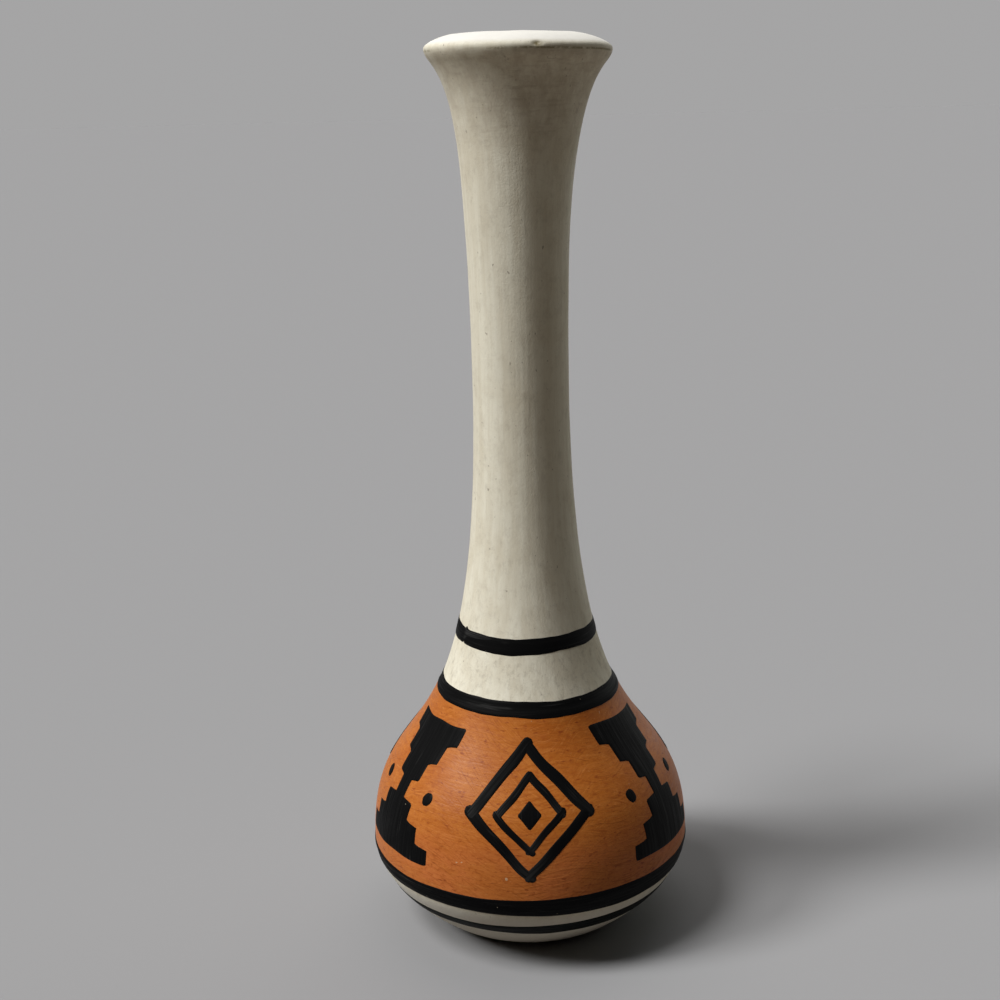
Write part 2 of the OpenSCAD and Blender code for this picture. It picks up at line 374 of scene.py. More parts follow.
def stroke(skins, rng, face, start, end, width):
    """One stroke of a round brush, from point to point on the flat drawing of a figure."""
    start, end = np.array(start, float), np.array(end, float)
    way = (end - start) / np.linalg.norm(end - start)
    start, end = start - OVERRUN * way * rng.uniform(0, 1), end + OVERRUN * way * rng.uniform(0, 1.3)
    length = np.linalg.norm(end - start)
    side = np.array([-way[1], way[0]])
    n = max(12, int(length / STROKE_STEP))
    t = (1 - np.cos(np.linspace(0, math.pi, n))) / 2
    t = 0.5 * t + 0.5 * np.linspace(0, 1, n)
    along = t * (length + width) - width / 2
    bend = brushed_line(rng, n, WANDER) + rng.normal(0, BOW) * np.sin(math.pi * t)
    from_start = np.clip((along + width / 2) / (width / 2), 0, 1)
    from_end = np.clip((length + width / 2 - along) / (width / 2), 0, 1)
    cap = round_end(from_start) * round_end(from_end)
    half = width / 2 * (1 + STARTS_FULLER * (1 - t) - ENDS_THINNER * t) * np.maximum(cap, 0.03)
    low = half * (1 + brushed_line(rng, n, EDGE_WANDER, 9))
    high = half * (1 + brushed_line(rng, n, EDGE_WANDER, 9))
    across = np.where(ACROSS < 0, ACROSS * low[:, None], ACROSS * high[:, None])
    line = start + along[:, None] * way + bend[:, None] * side
    flat = line[:, None, :] + across[..., None] * side
    lift = PAINT_T * BODY * np.minimum(cap, 1)[:, None] * rng.uniform(0.85, 1.1)
    dry = rng.uniform(0, 0.7) * smooth((t - 0.5) / 0.5)[:, None]
    lay(skins, face, flat, lift, along[:, None] + 0 * across, across, rng, dry)


def lay(skins, face, flat, lift, along, across, rng, dry=0.0):
    """Puts a grid of a flat drawing on the vase, facing an angle."""
    z = FIGURE_MID + flat[..., 1]
    s = outside_at(z, ON_BAND)
    angle = face + np.arcsin(np.clip(flat[..., 0] / coat_point(s, ON_BAND)[0], -1, 1))
    top = coat_point(s, ON_BAND + lift)
    low = coat_point(s, ON_BAND - 2 * SUNK)
    brush = np.stack([along, np.full(along.shape, rng.uniform(0, 50)), across], -1)
    skins.add(angle, top, low, brush, dry)


def diamond_corners(inset):
    """Top, right, foot and left corner of a diamond whose sides are moved in by inset."""
    rest = 1 - inset * math.hypot(DIAMOND_W / 2, FIGURE_HALF) / (DIAMOND_W / 2 * FIGURE_HALF)
    half_w, half_h = DIAMOND_W / 2 * rest, FIGURE_HALF * rest
    return (0, half_h), (half_w, 0), (0, -half_h), (-half_w, 0)


def diamond_line(skins, rng, face, inset, width):
    top, right, foot, left = diamond_corners(inset + width / 2)
    for start, end in ((top, left), (left, foot), (top, right), (right, foot)):
        jitter = rng.normal(0, 0.12, 4)
        stroke(skins, rng, face, np.add(start, jitter[:2]), np.add(end, jitter[2:]), width)


def filled(skins, rng, face, middle_x, half_h, half_w, shake):
    """A shape filled with paint: half_w gives half its width at a height from its middle."""
    rows = max(14, int(half_h * 2 / FILL_STEP))
    crowded = half_h * np.sin(np.linspace(-math.pi / 2, math.pi / 2, rows))
    z = crowded * 0.35 + np.linspace(-half_h, half_h, rows) * 0.65
    left = -np.maximum(half_w(z), 0.02) + brushed_line(rng, rows, shake, 10)
    right = np.maximum(half_w(z), 0.02) + brushed_line(rng, rows, shake, 10)
    share = np.linspace(0, 1, FILL_COLS)[:, None]
    x = left + (right - left) * share
    tilt = brushed_line(rng, FILL_COLS, shake, 6)[:, None] * np.abs(z / half_h) ** 3
    flat = np.stack([middle_x + x, z + tilt], -1)
    outline = np.concatenate([flat[0], flat[-1], flat[:, 0], flat[:, -1]])
    gap = np.linalg.norm(flat[:, :, None, :] - outline, axis=-1).min(-1)
    lift = PAINT_T * np.sqrt(smooth(gap / FILL_ROUNDING)) - SUNK * (gap < 1e-6)
    lay(skins, face, flat, lift, flat[..., 1], flat[..., 0], rng)


def stepped_half_w(z):
    """Half the width of the solid figure, which widens from its waist in soft steps both ways."""
    row_h = 2 * FIGURE_HALF / (2 * STEPS + 1)
    end = np.where(z < 0, FIGURE_FOOT_W, FIGURE_HEAD_W)
    step = sum(smooth((np.abs(z) - (k - 0.5) * row_h) / 0.5 + 0.5) for k in range(1, STEPS + 1))
    corner = np.abs(z) - (FIGURE_HALF - 0.5)
    rounded_off = 0.45 * np.clip(corner / 0.5, 0, 1) ** 2
    return (FIGURE_WAIST_W + (end - FIGURE_WAIST_W) * step / STEPS) / 2 - rounded_off


def lozenge_half_w(z):
    half_h = LOZENGE_W / 2 * FIGURE_HALF / (DIAMOND_W / 2)
    return LOZENGE_W / 2 * (1 - np.abs(z) / half_h) * 0.97 + 0.12


def dot_half_w(z):
    return np.sqrt(np.clip((DOT_D / 2) ** 2 - z**2, 0, None))


def on_slip(z):
    return np.full(np.shape(z), ON_SLIP)


def on_band(edge, side):
    """What a ring lies on where the band ends under it: side is 1 with the band above that edge, else -1."""
    return lambda z: ON_SLIP + BAND_T * smooth(side * (z - edge) / BAND_ROUNDING + 0.5)


def ring(name, edges, base, tilt, seed, start_deg, overlap_deg, nib, material):
    """A ring laid by one turn of the brush. It starts with a small peak, and its dry end laps over its start.

    Edges are the heights of its two edges, tilt is how far each rises to the right, and base gives what the
    ring lies on at a height.
    """
    rng = np.random.default_rng(seed)
    turn = math.radians(360 + overlap_deg)
    t = np.linspace(0, 1, RING_STEPS)
    angle = math.radians(start_deg) + t * turn
    low_waves = waves(seed, RING_ORDERS, LOW_WAVES, RING_FALLS)
    high_waves = waves(seed + 1, RING_ORDERS, HIGH_WAVES, RING_FALLS)
    low = edges[0] + tilt[0] * np.sin(angle) + low_waves(angle) + rng.normal(0, DRIFT) * t
    high = edges[1] + tilt[1] * np.sin(angle) + high_waves(angle) + rng.normal(0, DRIFT) * t
    arc = t * turn * coat_point(outside_at(np.mean(edges)), ON_SLIP)[0]
    high += nib * np.clip(1 - np.abs(arc - NIB_HALF_W) / NIB_HALF_W, 0, 1)
    lapped = np.clip((t * turn - TURN) / (turn - TURN), 0, 1)
    tail = smooth(lapped * 6)
    low += (edges[1] - edges[0]) * tail * (0.42 + 0.4 * lapped)
    high -= 0.3 * nib * tail
    cap = round_end(np.clip(np.minimum(arc, arc[-1] - arc) / RING_ROUNDING, 0, 1))[:, None]
    middle, half = (low + high)[:, None] / 2, (high - low)[:, None] / 2
    z = middle + half * ACROSS * np.maximum(cap, 0.05)
    s = outside_at(z, ON_SLIP)
    over = 0.03 * smooth((t - 0.5) * 2)[:, None] + 0.02 * tail[:, None]
    top = coat_point(s, base(z) + PAINT_T * BODY * np.minimum(cap, 1) + over)
    low_side = coat_point(s, base(z) - 2 * SUNK)
    angles = angle[:, None] + 0 * z
    brush = np.stack([top[0] * np.cos(angles), top[0] * np.sin(angles), z], -1)
    skins = Skins()
    skins.add(angles, top, low_side, brush, (tail * (1 - 0.7 * lapped))[:, None])
    return skins.piece(name + "_paint", material, "black_paint", [name])


def fullness(s, low, high, rounding):
    """How full a coat is along the outline, from 0 at its ends to 1, and which points are its very ends."""
    from_end = np.minimum(s - low, high - s)
    return np.sqrt(smooth(from_end / rounding)), from_end < 1e-9


def cream_slip_piece(material):
    """The slip over the whole outside, over the lip and into the mouth, with hand-dipped ends."""
    angle = all_round(276)
    low = outside_at(BARE_FOOT + waves(21, (2, 3, 5, 8, 13), 0.25)(angle))
    high = bore_at(SLIP_END_H + waves(22, (2, 3, 4, 6, 9), 1.2)(angle))
    first, last = outside_at(BARE_FOOT), bore_at(SLIP_END_H)
    lip_first, lip_last = outside_at(194), bore_at(196)
    spans = (
        (first, first + 1.5, 7),
        (first + 1.5, lip_first, 140),
        (lip_first, lip_last, 120),
        (lip_last, last - 1, 14),
    )
    base = np.concatenate([np.linspace(*span)[:-1] for span in spans] + [np.linspace(last - 1, last, 6)])
    s = low + (base - first) / (last - first) * (high - low)
    full, ends = fullness(s, low, high, SLIP_ROUNDING)
    r, z = coat_point(s, SLIP_T * full - SUNK * ends)
    hidden = s[:, -3:2:-4]
    r_low, z_low = coat_point(hidden, -SUNK)
    r, z = np.concatenate([r, r_low], 1), np.concatenate([z, z_low], 1)
    at = angle + 0 * r
    marks = {"worn_and_shaded": wear_and_edge_shade(at, r, z), "grime_and_shade_under_lip": grime_and_shade_under_lip(at, z), "painted_light": painted_light(z), "mottled": mottled(z)}
    return turned_piece("cream_slip_coat", angle, r, z, material, ["cream_slip"], marks)


def wear_and_edge_shade(angle, r, z):
    """Where the slip is rubbed off the lip's edge, darker on its right side with painted shade, and the nick
    in it.
    """
    side = from_front(angle)
    outer = r > CREST_R + 2
    # The bump on the right paints shade along the edge where it turns from the light; the rest is wear.
    share = 0.9 * bump(side, 0.75, 0.5) + 0.4 + waves(31, (3, 5, 8, 13, 21), 0.3, 0.3)(angle)
    line = bump(z, TIP_H - 0.55, 0.2) * outer * smooth(share)
    chip = 1.3 * bump(side, CHIP_ANGLE, 0.045) * bump(z, CHIP_H - 0.1, 0.45) * outer
    return np.clip(line + chip, 0, 1)


def grime_and_shade_under_lip(angle, z):
    """A grey-brown tinge under the lip: grime that hands and dust left, and painted shade under the lip's
    overhang.
    """
    under_lip = smooth((z - 168) / 28) * smooth((TIP_H - 0.3 - z) / 0.9)
    return under_lip * (0.4 + 0.3 * waves(41, (1, 2, 3, 4), 0.6)(angle))


def painted_light(z):
    """Painted light: the slip made whiter under the belly, and on top of the lip, which is also rubbed clean.
    """
    return 0.75 * smooth((BELLY_RING[0] + 1 - z) / 3) + 0.9 * smooth((z - TIP_H - 0.3) / 1.1)


def mottled(z):
    """How strong the slip's fine grey mottling is: half up the neck, and full on the collar below it."""
    return 0.5 + 0.5 * smooth((NECK_RING[1] + 8 - z) / 16)


def neck_piece(material):
    """The neck's clay, just inside its coats, down to the tongue that sits in the lower body."""
    angle = all_round(160)
    outer_r = coat_point(outside_at(JOINT_H), 0)[0]
    spigot_r = outer_r - WALL / 2 - JOINT_SLIP_T
    foot_h, tongue_h = JOINT_H + JOINT_SLIP_T, JOINT_H - JOINT_STEP + JOINT_SLIP_T
    crest_s = PATH_S[CREST]
    outside = np.linspace(outside_at(foot_h), crest_s, 110)
    bore = np.linspace(crest_s, bore_at(tongue_h), 90)
    r, z = coat_point(np.concatenate([outside, bore[1:]]), -0.02)
    r, z = np.append(r, [spigot_r, spigot_r]), np.append(z, [tongue_h, foot_h])
    return turned_piece("neck_clay", angle, r + 0 * angle, z + 0 * angle, material, ["neck"])


def inner_glaze_piece(material):
    """The glaze that lines the bore and the bulb; the least radius leaves no pole at its middle."""
    angle = all_round(120)
    least_r = 0.02
    top_s = bore_at(SLIP_END_H + 1.5)
    floor_s, floor_low_s = bore_at(FLOOR_T + GLAZE_T, GLAZE_T), bore_at(FLOOR_T, 0)
    r, z = coat_point(np.linspace(top_s, floor_s, 150), GLAZE_T - 0.04)
    z = np.maximum(z, FLOOR_T + GLAZE_T)
    r_low, z_low = coat_point(np.linspace(floor_low_s, top_s, 150), 0)
    r = np.concatenate([r, [r[-1] / 2, least_r, least_r, r_low[0] / 2], r_low])
    z = np.concatenate([z, [z[-1], z[-1], FLOOR_T, FLOOR_T], np.maximum(z_low, FLOOR_T)])
    r, z = r + 0 * angle, z + 0 * angle
    return turned_piece("inner_glaze_coat", angle, r, z, material, ["inner_glaze"])


def orange_band_piece(material):
    """The orange coat, whose edges end under the shoulder ring and the belly ring."""
    angle = all_round(320)
    low = outside_at(BELLY_RING[1] - RING_LAP + waves(51, (2, 3, 5, 8), 0.15)(angle), ON_SLIP)
    high = outside_at(SHOULDER_RING[0] + RING_LAP + waves(52, (2, 3, 5, 8), 0.15)(angle), ON_SLIP)
    s = low + (high - low) * np.linspace(0, 1, 96)
    full, ends = fullness(s, low, high, BAND_ROUNDING)
    top = coat_point(s, ON_SLIP + BAND_T * full - SUNK * ends)
    under = coat_point(s, ON_SLIP - 2 * SUNK)
    angles = angle + 0 * s
    points, faces = skin(angles, top, under, round_n=True)
    marks = {
        "sweep": swept(points, angles, waves(55, (2, 3, 5, 8), 4)),
        "cross": swept(points, angles, waves(56, (3, 4, 7, 9), 5)),
        "low": np.tile(smooth((37 - top[1]) / 13).reshape(-1), 2),
    }
    return make_piece("orange_band_coat", points, faces, material, ["orange_band"], marks)


def swept(points, angle, drift):
    """Where each point lies among brush marks that run round the vase and drift up and down."""
    z_shift = np.tile(drift(angle).reshape(-1), 2) * MM
    return points + z_shift[:, None] * np.array([0, 0, 1])


# Sockets of the mix node when it mixes colours: the share, the two colours and the result
MIX_SHARE, MIX_A, MIX_B, MIX_RESULT = 0, 6, 7, 2


class Finish:
    """A material, and short calls that add its nodes."""

    def __init__(self, name, **fixed):
        self.material = bpy.data.materials.new(name)
        self.material.use_nodes = True
        self.tree = self.material.node_tree
        self.shader = self.tree.nodes["Principled BSDF"]
        for socket, value in fixed.items():
            self.shader.inputs[socket.replace("_", " ")].default_value = value
        self.place = self.add("TexCoord", output="Object")

    def add(self, kind, output=0, settings=None, **inputs):
        """Adds a node of a kind, sets it and its inputs, and gives one of its outputs."""
        node = self.tree.nodes.new("ShaderNode" + kind)
        for key, value in (settings or {}).items():
            setattr(node, key, value)
        for key, value in inputs.items():
            self.put(node.inputs[key.replace("_", " ")], value)
        return node.outputs[output]

    def put(self, socket, value):
        if isinstance(value, bpy.types.NodeSocket):
            self.tree.links.new(value, socket)
        else:
            socket.default_value = value

    def mark(self, name, output="Fac"):
        """A mark that a mesh keeps at its points."""
        return self.add("Attribute", output, {"attribute_name": name})

    def stretched(self, vector, scale):
        """A place scaled along each axis; a small scale draws a pattern out along that axis."""
        node = self.tree.nodes.new("ShaderNodeVectorMath")
        node.operation = "MULTIPLY"
        self.put(node.inputs[0], vector)
        node.inputs[1].default_value = scale
        return node.outputs[0]

    def noise(self, vector, scale, detail=2.0, roughness=0.5):
        return self.add("TexNoise", "Fac", Vector=vector, Scale=scale, Detail=detail, Roughness=roughness)

    def between(self, value, low, high, to_low=0.0, to_high=1.0):
        """Maps a value from one span to another with soft ends."""
        node = self.tree.nodes.new("ShaderNodeMapRange")
        node.interpolation_type = "SMOOTHSTEP"
        keys = ("Value", "From Min", "From Max", "To Min", "To Max")
        for key, entry in zip(keys, (value, low, high, to_low, to_high)):
            self.put(node.inputs[key], entry)
        return node.outputs[0]

    def maths(self, operation, a, b):
        node = self.tree.nodes.new("ShaderNodeMath")
        node.operation = operation
        self.put(node.inputs[0], a)
        self.put(node.inputs[1], b)
        return node.outputs[0]

    def mix(self, share, a, b):
        """Mixes two colours."""
        node = self.tree.nodes.new("ShaderNodeMix")
        node.data_type = "RGBA"
        self.put(node.inputs[MIX_SHARE], share)
        for socket, value in ((node.inputs[MIX_A], a), (node.inputs[MIX_B], b)):
            self.put(socket, (*value, 1) if isinstance(value, tuple) else value)
        return node.outputs[MIX_RESULT]

    def tinted(self, colour, tint, pattern, low, high, most=1.0, least=0.0, where=None):
        """Tints a colour as a pattern goes from low to high, by a share from least to most.

        Where scales that share, and keeps the tint to a part of the vase.
        """
        share = self.between(pattern, low, high, least, most)
        if where is not None:
            share = self.maths("MULTIPLY", where, share)
        return self.mix(share, colour, tint)

    def relief(self, height, depth, before=None):
        """Bump from a height of 0 to 1, with its depth in metres."""
        node = self.tree.nodes.new("ShaderNodeBump")
        node.inputs["Distance"].default_value = depth
        self.put(node.inputs["Height"], height)
        if before is not None:
            self.put(node.inputs["Normal"], before)
        return node.outputs[0]

    def finish(self, colour, roughness, normal):
        self.put(self.shader.inputs["Base Color"], colour)
        self.put(self.shader.inputs["Roughness"], roughness)
        self.put(self.shader.inputs["Normal"], normal)
        return self.material


# Colours of the cream slip with its painted light and shade, and of grime settled on it or clay showing
# through it
CREAM_SHADE, CREAM_LIGHT = (0.75, 0.705, 0.575), (0.84, 0.808, 0.68)
CREAM_CLOUD, CREAM_BLOTCH, CREAM_BRUSHED = (0.68, 0.62, 0.48), (0.6, 0.55, 0.44), (0.62, 0.56, 0.44)
CREAM_MOTTLE, CREAM_SMEAR = (0.47, 0.43, 0.345), (0.38, 0.345, 0.28)
# CREAM_PAINTED_LIGHT is painted light: whiter slip under the belly and on the lip's top
CREAM_GRAIN, CREAM_SPECK, CREAM_PAINTED_LIGHT = (0.9, 0.87, 0.76), (0.26, 0.22, 0.17), (0.86, 0.85, 0.81)
# Grey-brown grime under the lip, partly painted shade beneath its overhang
GRIME_AND_SHADE, GRIME_AND_SHADE_RIDGE, GRIME_AND_SHADE_SPOT = (0.5, 0.43, 0.335), (0.42, 0.355, 0.27), (0.3, 0.24, 0.18)
WORN_AND_SHADED_EDGE = (0.25, 0.21, 0.11)


def cream_slip_finish():
    """Matt slip brushed up the neck, with smears, specks, painted light and shade, and a head that hands have
    soiled.
    """
    f = Finish("cream_slip_finish", Specular_IOR_Level=0.12)
    brushed = f.noise(f.stretched(f.place, (1, 1, 0.035)), 560, 3, 0.6)
    fine_brushed = f.noise(f.stretched(f.place, (1, 1, 0.06)), 2100, 2, 0.55)
    turned = f.noise(f.stretched(f.place, (0.16, 0.16, 1)), 1300, 3, 0.65)
    clouds = f.noise(f.place, 85, 4, 0.62)
    blotches = f.noise(f.stretched(f.place, (1, 1, 0.7)), 260, 4, 0.7)
    smears = f.noise(f.stretched(f.place, (1, 1, 0.45)), 780, 2, 0.6)
    mottles = f.noise(f.stretched(f.place, (1, 1, 0.8)), 620, 5, 0.8)
    specks = f.noise(f.stretched(f.place, (1, 1, 0.6)), 1250, 1, 0.5)
    spots = f.noise(f.place, 330, 4, 0.75)
    rubbed = f.noise(f.place, 900, 3, 0.6)
    grain = f.noise(f.place, 2600, 2, 0.6)
    grime_and_shade, worn_and_shaded = f.mark("grime_and_shade_under_lip"), f.mark("worn_and_shaded")
    in_patches = f.maths("MULTIPLY", f.mark("mottled"), f.between(clouds, 0.36, 0.58, 0.4, 0.9))
    colour = f.tinted(CREAM_SHADE, CREAM_LIGHT, brushed, 0.3, 0.7)
    colour = f.tinted(colour, CREAM_CLOUD, clouds, 0.42, 0.75, 0.5)
    colour = f.tinted(colour, CREAM_BLOTCH, blotches, 0.5, 0.72, 0.42)
    colour = f.tinted(colour, CREAM_BRUSHED, fine_brushed, 0.52, 0.8, 0.22)
    colour = f.tinted(colour, CREAM_MOTTLE, mottles, 0.48, 0.68, 0.62, where=in_patches)
    colour = f.tinted(colour, CREAM_SMEAR, smears, 0.62, 0.77, 0.42, where=in_patches)
    colour = f.tinted(colour, CREAM_GRAIN, grain, 0.35, 0.25, 0.25)
    colour = f.tinted(colour, CREAM_SPECK, specks, 0.74, 0.79, 0.6)
    # Grime under the lip, partly painted shade beneath the lip's overhang
    colour = f.tinted(colour, GRIME_AND_SHADE, blotches, 0.35, 0.62, 0.95, 0.3, where=grime_and_shade)
    colour = f.tinted(colour, GRIME_AND_SHADE_RIDGE, turned, 0.5, 0.7, 0.6, where=grime_and_shade)
    colour = f.tinted(colour, GRIME_AND_SHADE_SPOT, spots, 0.6, 0.78, where=grime_and_shade)
    # Painted light: whiter slip under the belly and on the lip's top
    colour = f.mix(f.mark("painted_light"), colour, CREAM_PAINTED_LIGHT)
    # Worn edge and nick, with painted shade along the lip's right edge
    colour = f.tinted(colour, WORN_AND_SHADED_EDGE, rubbed, 0.3, 0.55, where=worn_and_shaded)
    normal = f.relief(grain, 0.00004)
    normal = f.relief(brushed, 0.00006, normal)
    normal = f.relief(blotches, 0.00008, normal)
    return f.finish(colour, f.between(clouds, 0.3, 0.7, 0.5, 0.64), normal)


# Colours of the orange band: its ground, what darkens it, what lightens it, and light crossing lines that
# paint sheen
ORANGE_SHADE, ORANGE_LIGHT, ORANGE_PATCH = (0.45, 0.134, 0.018), (0.5, 0.16, 0.027), (0.37, 0.09, 0.01)
ORANGE_LOW = (0.58, 0.17, 0.046)
MOTTLE_DARK, MOTTLE_LIGHT = (0.33, 0.075, 0.012), (0.63, 0.235, 0.06)
HAIRLINE, CROSSING_DARK, CROSSING_SHEEN = (0.3, 0.072, 0.009), (0.33, 0.08, 0.01), (0.62, 0.23, 0.06)
FLECK_DARK, FLECK_LIGHT, ORANGE_CHIP = (0.24, 0.045, 0.008), (0.66, 0.29, 0.1), (0.64, 0.5, 0.33)


def orange_finish():
    """Satin slip laid on the turning vase: fine lines round it, redder patches and burnt flecks."""
    f = Finish("orange_band_finish", Specular_IOR_Level=0.18)
    turning = f.noise(f.stretched(f.place, (0.08, 0.08, 1)), 1500, 3, 0.65)
    hairlines = f.noise(f.stretched(f.mark("sweep", "Vector"), (0.05, 0.05, 1)), 3600, 2, 0.6)
    crossing = f.noise(f.stretched(f.mark("cross", "Vector"), (0.05, 0.05, 1)), 3600, 2, 0.6)
    patches = f.noise(f.stretched(f.place, (0.6, 0.6, 1)), 130, 4, 0.6)
    mottles = f.noise(f.stretched(f.place, (0.7, 0.7, 1)), 1150, 3, 0.7)
    flecks = f.noise(f.stretched(f.place, (0.35, 0.35, 1)), 1400, 2, 0.6)
    chips = f.noise(f.place, 640, 0, 0.5)
    grain = f.noise(f.place, 3000, 2, 0.6)
    colour = f.tinted(ORANGE_SHADE, ORANGE_LIGHT, turning, 0.3, 0.7)
    colour = f.tinted(colour, ORANGE_PATCH, patches, 0.42, 0.75, 0.6)
    colour = f.tinted(colour, ORANGE_LOW, patches, 0.38, 0.6, 0.85, 0.35, where=f.mark("low"))
    for tint, pattern, low, high, most in (
        (MOTTLE_DARK, mottles, 0.5, 0.68, 0.5),
        (MOTTLE_LIGHT, mottles, 0.44, 0.3, 0.35),
        (HAIRLINE, hairlines, 0.53, 0.72, 0.65),
        (CROSSING_DARK, crossing, 0.56, 0.74, 0.55),
        # Light crossing lines: painted sheen
        (CROSSING_SHEEN, crossing, 0.42, 0.28, 0.4),
        (FLECK_DARK, flecks, 0.63, 0.72, 0.7),
        (FLECK_LIGHT, flecks, 0.32, 0.23, 0.35),
        (ORANGE_CHIP, chips, 0.875, 0.885, 0.6),
    ):
        colour = f.tinted(colour, tint, pattern, low, high, most)
    normal = f.relief(grain, 0.00003)
    normal = f.relief(turning, 0.00005, normal)
    normal = f.relief(hairlines, 0.00003, normal)
    normal = f.relief(crossing, 0.00003, normal)
    return f.finish(colour, f.between(turning, 0.3, 0.7, 0.36, 0.5), normal)


# Colours of the paint: dense and dry on most of the vase, the same where it was laid thin, and its chips
BLACK_DENSE, BLACK_DRY = (0.001, 0.001, 0.0012), (0.034, 0.034, 0.034)
THIN_DENSE, THIN_DRY = (0.005, 0.006, 0.0055), (0.03, 0.036, 0.033)
PAINT_CHIP = (0.4, 0.35, 0.26)


def paint_finish(name, dense, dry):
    """Black paint: dense where the brush was full, greyer where its hairs ran dry, with a few chips."""
    f = Finish(name, Specular_IOR_Level=0.06)
    brush = f.mark("brush", "Vector")
    hairs = f.noise(f.stretched(brush, (0.09, 0.09, 3.2)), 1.0, 3, 0.6)
    broad = f.noise(f.stretched(brush, (0.12, 0.12, 0.8)), 1.0, 2, 0.5)
    chips = f.noise(f.place, 1000, 0, 0.5)
    colour = f.tinted(dense, tuple(0.12 * c for c in dry), hairs, 0.48, 0.74)
    ran_dry = f.maths("MULTIPLY", f.between(hairs, 0.5, 0.66), f.between(broad, 0.54, 0.7, 0, 0.5))
    ended = f.maths("MULTIPLY", f.mark("dry"), f.between(hairs, 0.36, 0.58, 0.2, 1))
    colour = f.mix(f.maths("MAXIMUM", ran_dry, ended), colour, dry)
    colour = f.tinted(colour, PAINT_CHIP, chips, 0.885, 0.895, 0.7)
    return f.finish(colour, f.between(hairs, 0.35, 0.65, 0.68, 0.46), f.relief(hairs, 0.00005))


# Colours of the fired clay, the slip in its joint and the glaze inside, each light and dark
CLAY_LIGHT, CLAY_DARK = (0.58, 0.36, 0.25), (0.46, 0.27, 0.18)
JOINT_LIGHT, JOINT_DARK = (0.64, 0.43, 0.31), (0.52, 0.33, 0.23)
GLAZE_LIGHT, GLAZE_DARK = (0.76, 0.7, 0.54), (0.62, 0.55, 0.4)


def clay_finish(name, light, dark):
    """Bare fired clay, with fine lines from the turning and darker grit."""
    f = Finish(name, Specular_IOR_Level=0.25)
    turning = f.noise(f.stretched(f.place, (0.1, 0.1, 1)), 900, 3, 0.6)
    grit = f.noise(f.place, 1800, 3, 0.65)
    colour = f.tinted(dark, light, turning, 0.3, 0.7)
    colour = f.tinted(colour, tuple(0.55 * c for c in dark), grit, 0.62, 0.72, 0.6)
    normal = f.relief(grit, 0.0001)
    normal = f.relief(turning, 0.00015, normal)
    return f.finish(colour, f.between(grit, 0.3, 0.7, 0.75, 0.9), normal)


def glaze_finish():
    """Glossy liner glaze with faint clouds and runs."""
    f = Finish("inner_glaze_finish", Specular_IOR_Level=0.5, Coat_Weight=0.4, Coat_Roughness=0.12)
    clouds = f.noise(f.place, 120, 3, 0.6)
    runs = f.noise(f.stretched(f.place, (1, 1, 0.15)), 300, 2, 0.5)
    colour = f.tinted(GLAZE_DARK, GLAZE_LIGHT, clouds, 0.3, 0.7)
    return f.finish(colour, f.between(clouds, 0.3, 0.7, 0.18, 0.3), f.relief(runs, 0.0002))


def paint_rings(paint, thin_paint):
    """The four rings: the tilt of each one's edges, where its brush mark starts, its overlap and its peak."""
    above_belly = on_band(BELLY_RING[1] - RING_LAP, 1)
    below_shoulder = on_band(SHOULDER_RING[0] + RING_LAP, -1)
    for name, edges, base, tilt, seed, start_deg, overlap_deg, nib, material in (
        ("neck_ring", NECK_RING, on_slip, (0.1, -0.25), 61, -63, 35, 0.6, paint),
        ("shoulder_ring", SHOULDER_RING, below_shoulder, (-0.45, -0.45), 63, 150, 10, 0.25, paint),
        ("belly_ring", BELLY_RING, above_belly, (-0.55, 0.05), 65, 195, 8, 0.2, paint),
        ("foot_ring", FOOT_RING, on_slip, (-0.2, 0.35), 67, 110, 10, 0.2, thin_paint),
    ):
        ring(name, edges, base, tilt, seed, start_deg, overlap_deg, nib, material)


def paint_figures(paint):
    """The diamonds, and the solid figures with their dots half-way between them."""
    half_way = math.pi / DIAMONDS
    drawings = {
        "diamond_outer_line": lambda s, rng, a: diamond_line(s, rng, a, 0, LINE_W),
        "diamond_inner_line": lambda s, rng, a: diamond_line(s, rng, a, LINE_W + LINE_GAP, FINE_LINE_W),
        "diamond_lozenge": lambda s, rng, a: filled(s, rng, a, 0, LOZENGE_W / 2, lozenge_half_w, 0.06),
        "solid_figure": lambda s, rng, a: filled(s, rng, a + half_way, 0, FIGURE_HALF, stepped_half_w, 0.16),
        "figure_dots": lambda s, rng, a: [
            filled(s, rng, a + half_way, side * DOT_SIDE, DOT_D / 2, dot_half_w, 0.05) for side in (-1, 1)
        ],
    }
    for k in range(DIAMONDS):
        for order, (name, draw) in enumerate(drawings.items()):
            node = f"{name}_{k + 1}"
            skins = Skins()
            draw(skins, np.random.default_rng(100 * k + order), TURN * k / DIAMONDS)
            skins.piece(node + "_paint", paint, "black_paint", [node])


def dress_cad_node(node, material):
    """Gives a node that keeps its CAD shape a better material."""
    mesh = frame["nodes"][node].data
    mesh.materials.clear()
    mesh.materials.append(material)


def build_vase():
    paint = paint_finish("black_paint_finish", BLACK_DENSE, BLACK_DRY)
    thin_paint = paint_finish("thin_paint_finish", THIN_DENSE, THIN_DRY)
    clay = clay_finish("clay_finish", CLAY_LIGHT, CLAY_DARK)
    dress_cad_node("lower_body", clay)
    dress_cad_node("joining_slip", clay_finish("joining_slip_finish", JOINT_LIGHT, JOINT_DARK))
    neck_piece(clay)
    inner_glaze_piece(glaze_finish())
    cream_slip_piece(cream_slip_finish())
    orange_band_piece(orange_finish())
    paint_rings(paint, thin_paint)
    paint_figures(paint)


